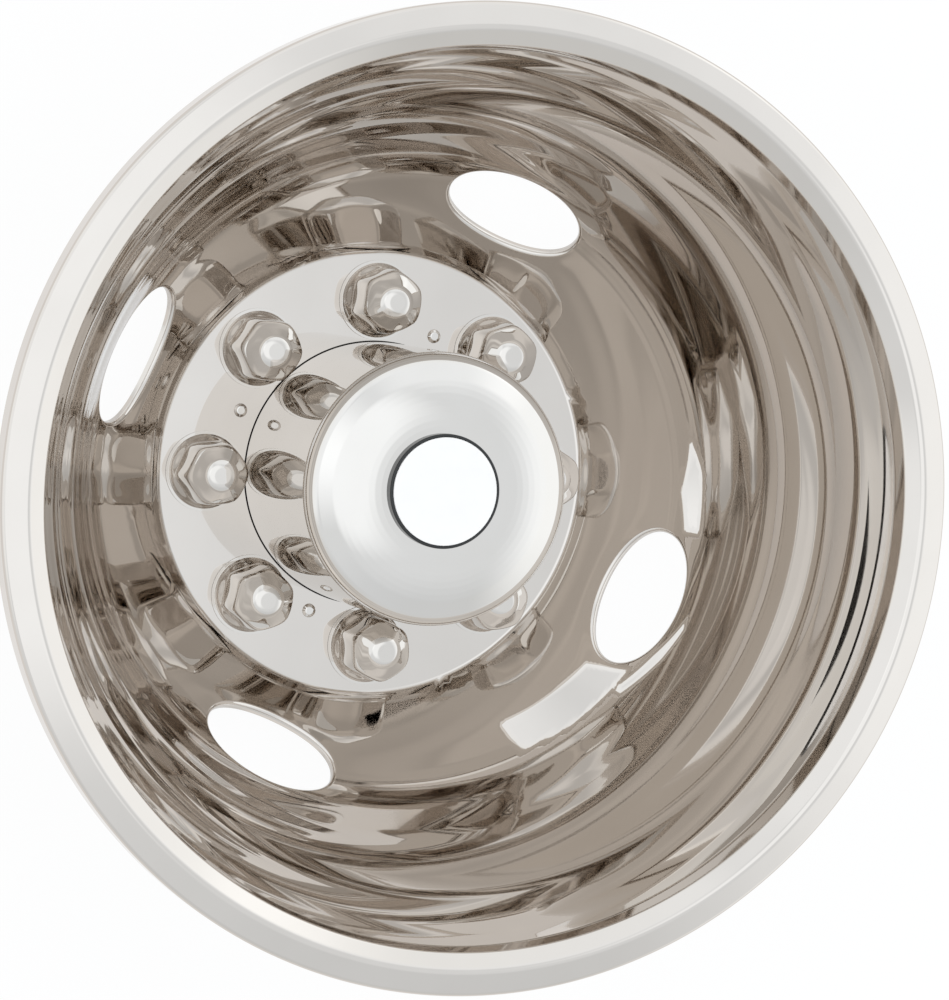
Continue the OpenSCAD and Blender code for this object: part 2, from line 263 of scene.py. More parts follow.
def polished(name, tint, haze_tint, wave_mm, wave_depth, seam):
    """Metal whose colour is its reflectance. Wide noise is the sheet's waviness, and the
    same kind of noise shifts the roughness where the buffing wheel left a haze. A seam,
    below a height and between two radii in mm, is painted dark as shade."""
    mat, finish = blank(name)
    seam_top, seam_in, seam_out = (length * MM for length in seam)
    where = add(mat, "ShaderNodeTexCoord").outputs["Object"]
    haze = add(mat, "ShaderNodeTexNoise", {"Vector": where, "Scale": 1 / (HAZE_MM * MM), "Detail": 3.0})
    waves = add(mat, "ShaderNodeTexNoise", {"Vector": where, "Scale": 1 / (wave_mm * MM), "Detail": 1.0})
    fine = add(mat, "ShaderNodeTexNoise", {"Vector": where, "Scale": 1 / (LINE_MM * MM), "Detail": 2.0})
    tone = add(mat, "ShaderNodeMix", {"Factor": haze.outputs["Fac"], 6: colour(tint), 7: colour(haze_tint)},
               data_type="RGBA")
    height = add(mat, "ShaderNodeSeparateXYZ", {0: where}).outputs["Z"]
    flat = add(mat, "ShaderNodeVectorMath", {0: where, 1: (1, 1, 0)}, operation="MULTIPLY")
    radius = add(mat, "ShaderNodeVectorMath", {0: flat.outputs[0]}, operation="LENGTH").outputs["Value"]
    low = add(mat, "ShaderNodeMath", {0: height, 1: seam_top}, operation="LESS_THAN")
    outside = add(mat, "ShaderNodeMath", {0: radius, 1: seam_in}, operation="GREATER_THAN")
    inside = add(mat, "ShaderNodeMath", {0: radius, 1: seam_out}, operation="LESS_THAN")
    ring = add(mat, "ShaderNodeMath", {0: outside.outputs[0], 1: inside.outputs[0]}, operation="MULTIPLY")
    shaded_seam = add(mat, "ShaderNodeMath", {0: low.outputs[0], 1: ring.outputs[0]}, operation="MULTIPLY")
    tone = add(mat, "ShaderNodeMix", {"Factor": shaded_seam.outputs[0], 6: tone.outputs[2], 7: colour(SEAM_SHADE)},
               data_type="RGBA")
    satin = add(mat, "ShaderNodeMapRange", {"Value": haze.outputs["Fac"], "From Min": 0.35, "From Max": 0.75,
                                            "To Min": MIRROR, "To Max": SATIN})
    wide = add(mat, "ShaderNodeBump", {"Height": waves.outputs["Fac"], "Distance": wave_depth * MM,
                                       "Strength": 1.0})
    close = add(mat, "ShaderNodeBump", {"Height": fine.outputs["Fac"], "Distance": LINE_DEPTH * MM,
                                        "Strength": 1.0, "Normal": wide.outputs[0]})
    finish(add(mat, "ShaderNodeBsdfPrincipled", {"Base Color": tone.outputs[2], "Metallic": 1.0,
                                                 "Roughness": satin.outputs[0], "Normal": close.outputs[0]}))
    return mat


# %% The three polished sheets
# Heights and radii in mm of the seams that are painted dark as shade.
CAP_SEAM = (RING_UP - 0.1, 62.4, 66)
COVER_SEAM = (RING_UP + 0.3, 62.4, 103)
steel = polished("stainless_steel_pressed_and_buffed", "#d4cdc6", "#cdc6bf", 45, 0.05, CAP_SEAM)
cover_steel = polished("stainless_steel_drawn_and_buffed", "#d6d0ca", "#cec8c1", 14, 0.012, COVER_SEAM)
cap_steel = polished("stainless_steel_deep_drawn_cap", "#dad5d0", "#d2cdc7", 60, 0.03, CAP_SEAM)
print("polished:", steel.name, cover_steel.name, cap_steel.name)

# %% [markdown]
# The clips and the push-on rings sit behind the liner. They are rolled spring
# strip, so they keep the grain of the rolls and a darker, duller face. The
# badge is two mouldings in glossy plastic: an even colour, with the faint
# orange peel that a moulded face has.

# %% Rolled spring strip and moulded plastics
GRAIN_MM, PATCH_MM, PEEL_MM = 0.4, 12, 2.5


def rolled_strip(name):
    """Dull steel with a grain: noise stretched 20 to 1 along X."""
    mat, finish = blank(name)
    where = add(mat, "ShaderNodeTexCoord").outputs["Object"]
    long_way = add(mat, "ShaderNodeMapping", {"Vector": where, "Scale": (0.05, 1.0, 1.0)})
    grain = add(mat, "ShaderNodeTexNoise", {"Vector": long_way.outputs[0], "Scale": 1 / (GRAIN_MM * MM),
                                            "Detail": 3.0})
    tone = add(mat, "ShaderNodeValToRGB", {"Fac": grain.outputs["Fac"]})
    tone.color_ramp.elements[0].color = colour("#8d8c8b")
    tone.color_ramp.elements[1].color = colour("#b3b2b0")
    satin = add(mat, "ShaderNodeMapRange", {"Value": grain.outputs["Fac"], "To Min": 0.28, "To Max": 0.42})
    relief = add(mat, "ShaderNodeBump", {"Height": grain.outputs["Fac"], "Distance": 0.01 * MM,
                                         "Strength": 1.0})
    finish(add(mat, "ShaderNodeBsdfPrincipled", {"Base Color": tone.outputs[0], "Metallic": 1.0,
                                                 "Roughness": satin.outputs[0], "Normal": relief.outputs[0]}))
    return mat


def moulded(name, tint, peak, rough):
    """Glossy plastic: two close tones in soft patches, and shallow orange peel."""
    mat, finish = blank(name)
    where = add(mat, "ShaderNodeTexCoord").outputs["Object"]
    patch = add(mat, "ShaderNodeTexNoise", {"Vector": where, "Scale": 1 / (PATCH_MM * MM), "Detail": 2.0})
    tone = add(mat, "ShaderNodeValToRGB", {"Fac": patch.outputs["Fac"]})
    tone.color_ramp.elements[0].color = colour(tint)
    tone.color_ramp.elements[1].color = colour(peak)
    peel = add(mat, "ShaderNodeTexNoise", {"Vector": where, "Scale": 1 / (PEEL_MM * MM), "Detail": 1.0})
    relief = add(mat, "ShaderNodeBump", {"Height": peel.outputs["Fac"], "Distance": 0.004 * MM,
                                         "Strength": 1.0})
    finish(add(mat, "ShaderNodeBsdfPrincipled", {"Base Color": tone.outputs[0], "Roughness": rough,
                                                 "IOR": 1.5, "Normal": relief.outputs[0]}))
    return mat


strip = rolled_strip("spring_steel_rolled_strip")
black = moulded("abs_moulded_black", "#161616", "#1e1e1d", 0.16)
white = moulded("abs_moulded_white", "#f0ece9", "#f6f3f0", 0.22)
print("strip and plastics:", strip.name, black.name, white.name)

# %% [markdown]
# ## The liner
#
# One pressing: a flat lug ring, a conical bowl, a barrel with one crease, and
# a wide lip whose edge is turned back. Ring, crease and lip stand where the
# part's source has them. Between them the source has straight walls, but real
# deep-drawn sheet keeps slow waves where the punch let go of it, and in a
# mirror they make the zigzag bands. So the wall is given as headings: it
# turns evenly from each listed angle to the next, a few degrees to and fro.
# The grid lines go round at 1.25 degrees, with one of them at the first lug.

# %% Front line of the liner
LUGS, LUG_CIRCLE, LUG_TURN = 8, 165.1 / 2, math.radians(-2.2)
HANDS, HAND_TURN = 4, math.radians(-2.2 - 22.5 - 1.2)
SHEET = 0.8
HUB_OPEN, RING_R, RING_BEND = 63.3, 105.6, 3.0
BOWL_FOOT, BOWL_R = (109.2, 4.6), 166
CREASE_Z, MOUTH_Z = 120.2, 158.9
WALL_AT = [0, 2.5, 12, 24, 33, 42, 51, 60, 68, 77, 86, 95, 101, 107, 113, 120, 128, 136, 142, 152]
WALL_WAY = [48, 43.6, 43.4, 42.2, 40.8, 41.4, 52.4, 61.8, 70.6, 69.5, 68.6, 72.8, 72.8, 70.5, 67.7, 62.4,
            58.7, 61.1, 63.2, 63.2]
UPPER_AT = [0, 4, 8, 12, 17, 23, 29, 36, 46, 50]
UPPER_WAY = [64.4, 68.8, 71.8, 70.8, 69.8, 67.2, 64.0, 66.2, 73, 73]
LIP_CORNERS = [(199.3, 162, 6), (200.5, 170.5, 2), (208, 175, 5), (220, 172.5, 2.4), (220, 160.5, 0)]


def waved(start, at, way, top):
    """Rows of a line that starts at a point and whose heading, in degrees, goes evenly
    from one listed value to the next. It ends where it reaches the height top."""
    rows, (r, z) = [], start
    for s0, s1, h0, h1 in zip(at, at[1:], np.radians(way), np.radians(way[1:])):
        row = np.array([[0.0, r, z, h0, (h1 - h0) / (s1 - s0)]])
        steps = np.linspace(0, s1 - s0, 400)
        line_r, line_z, _, _ = along(row, steps)
        rows.append((s0, *row[0, 1:]))
        if line_z[-1] >= top:
            end = float(np.interp(top, line_z, steps))
            return np.array(rows), s0 + end, (float(np.interp(end, steps, line_r)), top)
        r, z = line_r[-1], line_z[-1]


def joined(*parts):
    """One line from several that follow each other: each starts where the last ended."""
    rows, length = [], 0.0
    for part, end in parts:
        rows.append(part + [length, 0, 0, 0, 0])
        length += end
    return np.concatenate(rows), length


wall_rows, wall_length, crease = waved(BOWL_FOOT, WALL_AT, WALL_WAY, CREASE_Z)
upper_rows, upper_length, mouth = waved(crease, UPPER_AT, UPPER_WAY, MOUTH_Z)
liner_rows, liner_end = joined(track([(HUB_OPEN, 0, 0), (RING_R, 0, RING_BEND), (*BOWL_FOOT, 0)]),
                               (wall_rows, wall_length), (upper_rows, upper_length),
                               track([(*mouth, 0), *LIP_CORNERS]))
RING_END = liner_rows[1, 0]
s_fine = np.linspace(RING_END, liner_end / 2, 4000)
BOWL_END = float(np.interp(BOWL_R, along(liner_rows, s_fine)[0], s_fine))
print("crease at", np.round(crease, 2).tolist(), "mouth at", np.round(mouth, 2).tolist())
print("front line:", round(liner_end, 1), "mm, ring to", round(RING_END, 1), "bowl to", round(BOWL_END, 1))

# %% [markdown]
# The barrel and the lip are simply spun. The flat ring is eight equal
# sectors, each with a round hole. A sector's grid runs from the circle of
# the hole out to the sector's border: on the border it matches its
# neighbours, and at the hole it is a clean circle.

# %% Barrel and lip
LINES, STEP = 288, math.radians(1.25)


def grid_angle(k):
    """Angle of grid line number k, counted from the first lug."""
    return LUG_TURN + STEP * np.asarray(k)


s_wall = stations(liner_rows, liner_end)
s_wall = np.concatenate([[BOWL_END], s_wall[s_wall > BOWL_END + 0.1]])
wall = spin(*along(liner_rows, s_wall), grid_angle(np.arange(LINES + 1)))
wall_back = back_of(wall, SHEET)
liner_grids = [wall, wall_back, rim(wall[0][-1], wall_back[0][-1], np.array([0, 0, -1.0]))]
print("barrel and lip:", len(s_wall), "circles of", LINES, "points")

# %% Flat ring with its lug holes
HOLE_R, RING_ROWS, RING_SIDE = 14.8, 6, 13


def ring_sector(i):
    """Sector i of the flat ring: spokes from the lug hole's circle to the sector's
    border, blended as (1 - q) circle + q border."""
    half = LINES // LUGS // 2
    k = 2 * half * i + np.arange(-half, half + 1)
    side = np.linspace(0, 1, RING_SIDE)[1:-1]
    inner = spin(*along(liner_rows, np.array([0.0])), grid_angle(k))[0][0]
    outer = spin(*along(liner_rows, np.array([RING_END])), grid_angle(k))[0][0]
    right = inner[-1] + np.outer(side, outer[-1] - inner[-1])
    left = outer[0] + np.outer(side, inner[0] - outer[0])
    border = np.concatenate([inner, right, outer[::-1], left, inner[:1]])
    a = LUG_TURN + i * 2 * math.pi / LUGS
    middle = np.array([LUG_CIRCLE * math.cos(a), LUG_CIRCLE * math.sin(a), RING_UP])
    out = border - middle
    hole = middle + HOLE_R * out / np.linalg.norm(out, axis=1, keepdims=True)
    q = np.linspace(0, 1, RING_ROWS)[:, None, None]
    face = (1 - q) * hole + q * border, np.array([0, 0, 1.0])
    under = face[0] - [0, 0, SHEET], np.array([0, 0, -1.0])
    return [face, under, rim(hole, under[0][0], middle - hole)], (inner, under[0][-1][:len(k)])


for i in range(LUGS):
    faces, (edge, edge_back) = ring_sector(i)
    liner_grids += faces
    liner_grids.append(rim(edge, edge_back, -edge * [1, 1, 0]))
print("flat ring:", LUGS, "sectors, lug holes", 2 * HOLE_R, "mm")

# %% [markdown]
# ## The hand holes
#
# Each hand hole is an oval cut in the bowl, and its edge is folded to the
# back with a soft radius. So the sheet is first pressed in a little round the
# hole, then turns through a quarter circle into a short lip. The grid starts
# at the sector's border, closes in on the oval, and goes on down the lip.
# Beside one hole the real sheet lies flatter and mirrors a brighter part of
# the tent. How it is bent there can't be told from the front alone, so only
# the normals are tilted.

# %% The bowl round a hand hole
HAND_R, HALF_LEN, HALF_WID, FOLD, TURNED = 139.7, 33.4, 20.2, 2.2, 3.8
OUT_LEN, OUT_WID = HALF_LEN + FOLD, HALF_WID + FOLD
PRESS, PRESS_WIDE = 0.15, 5.0
FLAT_SLOPE, FLAT_EDGE = math.radians(24), 3.5
FLATS_BESIDE = [[(-39, -10), (-17.2, -6), (-15.2, 4), (-12.6, 18), (-20, 16), (-29, 12), (-38.4, 11)],
                [(14.6, 3), (22, 7), (31, 2), (31.5, 13), (26, 18.5), (14.6, 20)],
                [(-18, 14), (-9, 21), (-1, 29.5), (-2.5, 31), (-9, 27.5), (-18, 19)]]
s_bowl = np.linspace(RING_END, BOWL_END, 4000)
MID_S = float(np.interp(HAND_R, along(liner_rows, s_bowl)[0], s_bowl))


def press(x, y):
    """Depth of the sheet pressed in round a hole: it fades as exp(-(e / width)^2) with
    the distance e outside the fold."""
    e = (np.sqrt((x / OUT_LEN) ** 2 + (y / OUT_WID) ** 2) - 1) * math.sqrt(OUT_LEN * OUT_WID)
    return PRESS * np.exp(-(np.maximum(e, 0) / PRESS_WIDE) ** 2)


def flatter(x, y, middle):
    """Share of the flatter sheet beside the first hole. Each shape has corners in degrees
    round and mm up the slope, counterclockwise, and the share is the least distance from
    its sides over the width of its soft edge."""
    share = np.zeros(np.broadcast(x, y).shape)
    if abs(middle - HAND_TURN) > 0.01:
        return share
    for shape in FLATS_BESIDE:
        c = np.array(shape) * [math.radians(HAND_R), 1]
        deep = np.full(share.shape, 99.0)
        for (x0, y0), (x1, y1) in zip(c, np.roll(c, -1, axis=0)):
            from_side = ((x1 - x0) * (y - y0) - (y1 - y0) * (x - x0)) / math.hypot(x1 - x0, y1 - y0)
            deep = np.minimum(deep, from_side)
        share = np.maximum(share, np.clip(deep / FLAT_EDGE + 0.5, 0, 1))
    return share


def bowl_face(x, y, middle, depth=0.0):
    """Points and normals of the bowl at x mm round and y mm up the slope from a hole's
    middle. Pressing moves a point back along the bowl's normal, and tilts the normal by
    the slope of the depth."""
    r, z, nr, nz = along(liner_rows, MID_S + y)
    t = middle + x / HAND_R
    c, s = np.cos(t), np.sin(t)
    n0 = np.stack([nr * c, nr * s, nz], -1)
    round_way = np.stack([-s, c, 0 * s], -1)
    slope_way = np.stack([nz * c, nz * s, -nr], -1)
    p = np.stack([r * c, r * s, z + RING_UP], -1) - n0 * (depth * press(x, y))[..., None]
    dx = depth * (press(x + 0.05, y) - press(x - 0.05, y)) / 0.1
    dy = depth * (press(x, y + 0.05) - press(x, y - 0.05)) / 0.1
    flat = flatter(x, y, middle) * (np.arctan2(-nr, nz) - FLAT_SLOPE) * depth
    n = n0 * np.cos(flat)[..., None] + np.sin(flat)[..., None] * slope_way
    n = n + dx[..., None] * round_way + dy[..., None] * slope_way
    return p, n / np.linalg.norm(n, axis=-1, keepdims=True), n0, round_way, slope_way


# %% Folded edge of a hand hole
def fold_section(radius, start):
    """A cut through the fold, a quarter circle, and the lip under it: offset e outside
    the oval, height h over the bowl, and the normal's shares along e and h."""
    turn = np.radians(np.linspace(0, 90, 9))[:, None]
    down = np.array([[0.5], [1.0]])
    e = np.concatenate([FOLD - radius * np.sin(turn), np.full((2, 1), FOLD - radius)])
    h = np.concatenate([start - radius * (1 - np.cos(turn)), down * (FOLD - TURNED) - FOLD])
    en = np.concatenate([-np.sin(turn), -np.ones((2, 1))])
    hn = np.concatenate([np.cos(turn), np.zeros((2, 1))])
    return e, h, en, hn


def folded(a, middle, radius, start, sign):
    """That section carried round the oval: at angle a it stands on (length sin a, width
    cos a), square to the oval."""
    e, h, en, hn = fold_section(radius, start)
    x, y = (HALF_LEN + e) * np.sin(a), (HALF_WID + e) * np.cos(a)
    base, _, up, round_way, slope_way = bowl_face(x, y, middle)
    pts = base + up * (h - press(OUT_LEN * np.sin(a), OUT_WID * np.cos(a)))[..., None]
    out = np.stack([(HALF_WID + e) * np.sin(a), (HALF_LEN + e) * np.cos(a)], -1)
    out = out / np.linalg.norm(out, axis=-1, keepdims=True)
    out = out[..., :1] * round_way + out[..., 1:] * slope_way
    return pts, sign * (en[..., None] * out + hn[..., None] * up)


# %% Bowl sectors
BOWL_ROWS, BOWL_SIDE, CLOSING = 34, 21, 1.4


def bowl_sector(i):
    """Sector i: the pressed bowl from border to fold, the fold and the lip, on the
    front and, one sheet behind, on the back. The rows lie closer towards the fold, and
    the back has only every other one of them, to save triangles."""
    middle = HAND_TURN + i * 2 * math.pi / HANDS
    half = LINES // HANDS // 2
    k = round((middle - LUG_TURN) / STEP) + np.arange(-half, half + 1)
    x = (grid_angle(k) - middle) * HAND_R
    low, high = RING_END - MID_S, BOWL_END - MID_S
    side = np.linspace(low, high, BOWL_SIDE)[1:-1]
    bx = np.concatenate([x, np.full(len(side), x[-1]), x[::-1], np.full(len(side), x[0]), x[:1]])
    by = np.concatenate([np.full(len(x), low), side, np.full(len(x), high), side[::-1], [low]])
    a = np.arctan2(bx / OUT_LEN, by / OUT_WID)
    q = (np.linspace(1, 0, BOWL_ROWS) ** CLOSING)[:, None]
    gx = (1 - q) * OUT_LEN * np.sin(a) + q * bx
    gy = (1 - q) * OUT_WID * np.cos(a) + q * by
    p, n = bowl_face(gx, gy, middle, depth=1.0)[:2]
    front_lip = folded(a, middle, FOLD, 0.0, 1.0)
    back_lip = folded(a, middle, FOLD - SHEET, -SHEET, -1.0)
    every_other = np.append(np.arange(0, BOWL_ROWS - 1, 2), BOWL_ROWS - 1)
    back = back_of((p[every_other], n[every_other]), SHEET)
    back[0][-1] = back_lip[0][0]
    down_way = -bowl_face(HALF_LEN * np.sin(a), HALF_WID * np.cos(a), middle)[2]
    return [(p, n), front_lip, back, back_lip, rim(front_lip[0][-1], back_lip[0][-1], down_way)]


for i in range(HANDS):
    liner_grids += bowl_sector(i)
weld("liner_sheet", liner_grids, steel, "liner")

# %% [markdown]
# ## The hub cap
#
# A deep-drawn cup: a straight side, a soft shoulder, a gently domed face and
# a flat seat for the badge. It is a spun line again. The dome follows a
# parabola, as short straights in the source and with wide fillets between
# them here.

# %% Hub cap
HUB_R, EDGE_Z, FACE_Z, SEAT_R = 62.9, 100.0, 107.0, 29.5
SHOULDER, DOME_FILLET, FLANGE_R = 8, 25, 65.6

face_r = np.linspace(SEAT_R, HUB_R - 9, 9)[1:-1]
face_z = FACE_Z - (FACE_Z - EDGE_Z) * ((face_r - SEAT_R) / (HUB_R - SEAT_R)) ** 2
dome = [(r, z, DOME_FILLET) for r, z in zip(face_r, face_z)]
cap_rows, cap_end = track([(0, FACE_Z, 0), (SEAT_R, FACE_Z, 10), *dome, (HUB_R, EDGE_Z, SHOULDER),
                           (HUB_R, -SHEET, 0)])
cap_turns = np.linspace(0, 2 * math.pi, 257)
cap_out = spin(*along(cap_rows, stations(cap_rows, cap_end, run=6.0, turn=5.0)), cap_turns)
cap_in = back_of(cap_out, SHEET)
foot_r = np.array([HUB_R, FLANGE_R, FLANGE_R, HUB_R - SHEET])
foot_z = np.array([-SHEET, -SHEET, -2 * SHEET, -2 * SHEET])
foot = [spin(foot_r[j:j + 2], foot_z[j:j + 2], *way, cap_turns) for j, way in
        enumerate([((0, 0), (1, 1)), ((1, 1), (0, 0)), ((0, 0), (-1, -1))])]
inner = spin(np.array([HUB_R - SHEET] * 2), np.array([-SHEET, -2 * SHEET]), (-1, -1), (0, 0), cap_turns)
weld("hub_cap_shell", [cap_out, cap_in, *foot, inner], cap_steel, "hub_cap")

# %% [markdown]
# ## The badge
#
# A round black plug with a white face let into it. It is bare here. Both
# pieces are lathe turned, with the small radii that a mould needs.

# %% Badge
PLUG_R, PLUG_H, POCKET_R, FLOOR_H = 26.2, 3.0, 24.9, 2.5
DISC_R, DISC_H = 24.7, 3.4


def spun_piece(name, corners, material, node):
    """A closed lathe shape, from a line over the cap's seat that starts and ends on the
    axis."""
    rows, end = track([(r, FACE_Z + z, fillet) for r, z, fillet in corners])
    line = along(rows, stations(rows, end, run=6.0))
    weld(name, [spin(*line, np.linspace(0, 2 * math.pi, 193))], material, node)


plug_line = [(0, 0, 0), (PLUG_R, 0, 0), (PLUG_R, PLUG_H, 0.7), (POCKET_R, PLUG_H, 0.15),
             (POCKET_R - 0.1, FLOOR_H, 0.1), (0, FLOOR_H, 0)]
disc_line = [(0, FLOOR_H, 0), (DISC_R, FLOOR_H, 0), (DISC_R, DISC_H, 0.35), (0, DISC_H, 0)]
spun_piece("badge_plug_moulding", plug_line, black, "badge_plug")
spun_piece("badge_face_moulding", disc_line, white, "badge_face")

# %% [markdown]
# ## The lug covers
#
# Each cover is drawn from thin sheet over a hexagonal punch. From its round
# foot it goes through shallow scoops into the six flats, whose corners are
# soft, and a cone closes it to a flat disc on top. All of that is one
# formula: at each height the outline is the smooth minimum of a hexagon and
# a circle.

# %% Outline of a cover
FLATS, COVER_H, SHOULDER_Z = 28.6, 31.5, 14
BODY_R, FOOT_R, FOOT_Z, BRIM_R = 17.4, 16.9, 1.8, 19.0
SCOOP_Z, SCOOP_H = 6.5, 4.7


def hexagon(t, power=14):
    """Radius of a soft hexagon: half the flats over the power mean of the three cosines
    across its flats, so that a higher power gives sharper corners."""
    faces = np.radians([30, 90, 150])[:, None, None]
    return FLATS / 2 / (np.abs(np.cos(t[None] - faces)) ** power).sum(0) ** (1 / power)


def soft_min(a, b, power=14):
    """The smaller of two radii, rounded where they are equal."""
    return (a ** -power + b ** -power) ** (-1 / power)


def ease(x):
    """Smooth step: 0 below 0, 1 above 1, and 3x^2 - 2x^3 between."""
    x = np.clip(x, 0, 1)
    return x * x * (3 - 2 * x)


cone_rows, cone_end = track([(0, COVER_H, 0), (6.2, COVER_H, 8), (15.4, 24.7, 8), (BODY_R, SHOULDER_Z, 0)])


def cover_point(v, t):
    """Outer face of a cover. From v = 0 to 1 the shoulder's line, from 1 to 2 down the
    flats and through the scoops to the foot circle, from 2 to 3 out over the brim."""
    shoulder = along(cone_rows, np.clip(v, 0, 1) * cone_end)
    z = np.where(v < 1, shoulder[1], SHOULDER_Z - (SHOULDER_Z - FOOT_Z) * np.clip(v - 1, 0, 1))
    r_hex = soft_min(np.where(v < 1, np.maximum(shoulder[0], 1e-9), BODY_R), hexagon(t))
    r_hex = np.where(shoulder[0] < 0.01, shoulder[0], r_hex)
    r = r_hex + (FOOT_R - r_hex) * ease((SCOOP_Z - z) / SCOOP_H)
    w = np.clip(v - 2, 0, 1)
    out = FOOT_R + (BRIM_R - FOOT_R) * np.clip(w / 0.8, 0, 1)
    down = FOOT_Z - FOOT_Z / 2 * ease(w / 0.35) - FOOT_Z / 2 * ease((w - 0.8) / 0.2)
    r = np.where(v > 2, out, r)
    z = np.where(v > 2, down, z)
    return np.stack([r * np.cos(t), r * np.sin(t), z], -1)


# %% Grid of a cover
EPS, POLE = 1e-4, 2e-3
v_rows = np.concatenate([stations(cone_rows, cone_end, run=3.0) / cone_end, np.linspace(1, 2, 17)[1:],
                         np.linspace(2, 3, 15)[1:]])
t_cols = np.linspace(0, 2 * math.pi, 193)
V, T = np.meshgrid(v_rows, t_cols, indexing="ij")
vc = np.clip(V, POLE, 3 - POLE)
cover_p = cover_point(V, T)
cover_n = np.cross(cover_point(vc, T + EPS) - cover_point(vc, T - EPS),
                   cover_point(vc - EPS, T) - cover_point(vc + EPS, T))
cover_n[0] = [0, 0, 1]
cover_n /= np.linalg.norm(cover_n, axis=-1, keepdims=True)
print("a cover:", cover_p.shape[:2], "points, top at", round(float(cover_p[..., 2].max()), 1), "mm")


def placed(grid, turn, middle):
    """A grid of the cover, turned about its own axis and moved to its lug."""
    c, s = math.cos(turn), math.sin(turn)
    spinner = np.array([[c, s, 0], [-s, c, 0], [0, 0, 1]])
    return grid[0] @ spinner + [middle[0], middle[1], RING_UP], np.asarray(grid[1]) @ spinner


def ring_row(r, z):
    """A circle of points at radius r and height z, on the cover's own axis."""
    return np.stack([r * np.cos(t_cols), r * np.sin(t_cols), np.full_like(t_cols, z)], -1)


def band(r0, z0, r1, z1):
    """A straight band between two circles, facing the left of the way it goes."""
    d = np.array([z0 - z1, r1 - r0]) / math.hypot(r1 - r0, z1 - z0)
    n = np.stack([d[0] * np.cos(t_cols), d[0] * np.sin(t_cols), np.full_like(t_cols, d[1])], -1)
    return np.stack([ring_row(r0, z0), ring_row(r1, z1)]), np.stack([n, n])


# %% Eight covers, each turned as its nut happens to be
TURNS = [27, 14, 21, 54, 4, 17, 32, 9]
SKIRT_OUT, SKIRT_IN, NECK_Z = 14.5, 13.7, 1.0

keep_in = v_rows < 1.9
inner_p, inner_n = (cover_p - cover_n * SHEET)[keep_in], -cover_n[keep_in]
neck = np.stack([inner_p[-1], ring_row(SKIRT_IN, NECK_Z)]), inner_n[-1]
skirt = [band(BRIM_R, 0, SKIRT_OUT, 0), band(SKIRT_OUT, 0, SKIRT_OUT, -RING_UP),
         band(SKIRT_OUT, -RING_UP, SKIRT_IN, -RING_UP), band(SKIRT_IN, -RING_UP, SKIRT_IN, NECK_Z)]
for k in range(1, LUGS + 1):
    a = LUG_TURN + (k - 1) * 2 * math.pi / LUGS
    lug = LUG_CIRCLE * math.cos(a), LUG_CIRCLE * math.sin(a)
    turn = math.radians(TURNS[k - 1])
    grids = [placed(grid, turn, lug) for grid in [(cover_p, cover_n), (inner_p, inner_n), neck, *skirt]]
    weld(f"lug_cover_shell_{k}", grids, cover_steel, f"lug_cover_{k}")

# %% [markdown]
# ## Rivets, clips and push-on rings
#
# The rivet heads are small domes with a flat middle. The clips and rings
# behind the liner keep their CAD shape and get the strip finish.

# %% Rivets and strip parts
RIVET_CIRCLE = 72
RIVET_LINE = [(0, 1.3, 0), (1.9, 1.3, 1.2), (3.1, 0.5, 0.8), (3.3, 0, 0), (1.9, 0, 0), (1.9, -1.8, 0),
              (2.64, -1.8, 0), (2.64, -2.45, 0), (0, -2.45, 0)]

rivet_rows, rivet_end = track(RIVET_LINE)
rivet_line = along(rivet_rows, stations(rivet_rows, rivet_end, run=1.0, turn=12.0))
p, n = spin(*rivet_line, np.linspace(0, 2 * math.pi, 49))
for k in range(1, HANDS + 1):
    a = HAND_TURN + (k - 1) * 2 * math.pi / HANDS
    at = [RIVET_CIRCLE * math.cos(a), RIVET_CIRCLE * math.sin(a), 0]
    weld(f"rivet_head_{k}", [(p + at, n)], cap_steel, f"rivet_{k}")
for name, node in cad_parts.items():
    if name.startswith(("push_ring", "hub_clip")):
        node.data.materials.clear()
        node.data.materials.append(strip)
        node.data.polygons.foreach_set("use_smooth", np.zeros(len(node.data.polygons), bool))

# %% [markdown]
# ## Floor and studio
#
# The wheel cover lies face up on a plain white table in a white tent. The
# tent is the world: even white light, brighter straight above and where the
# lamps stand behind the cloth at the sides, and a little dimmer on the side
# where no lamp stands. The light is a little cool, and more so from above.
# All the dark lines in the wheel, except the painted shade in the seams at
# the ring, come from its own walls: each bounce keeps two thirds of the
# light, and rays that leave the barrel late have bounced six times.
#
# The table glows evenly for the camera and for mirrors, so that it stays
# white, and is plain paper for all other light. Under the wheel cover it lies
# in shade, which the glow wouldn't know of, so there mirrors see it at less
# than half.

# %% Floor
FLOOR_HALF, FLOOR_Z = 6, -0.0002
SHADE_FROM, SHADE_TO, SHADE = 0.19, 0.24, 0.45
GLOW_SHARE = 0.93

corners = [(x * FLOOR_HALF, y * FLOOR_HALF, FLOOR_Z) for x, y in [(-1, -1), (1, -1), (1, 1), (-1, 1)]]
floor_mesh = bpy.data.meshes.new("floor")
floor_mesh.from_pydata(corners, [], [(0, 1, 2, 3)])
floor = bpy.data.objects.new("floor", floor_mesh)
bpy.context.scene.collection.objects.link(floor)

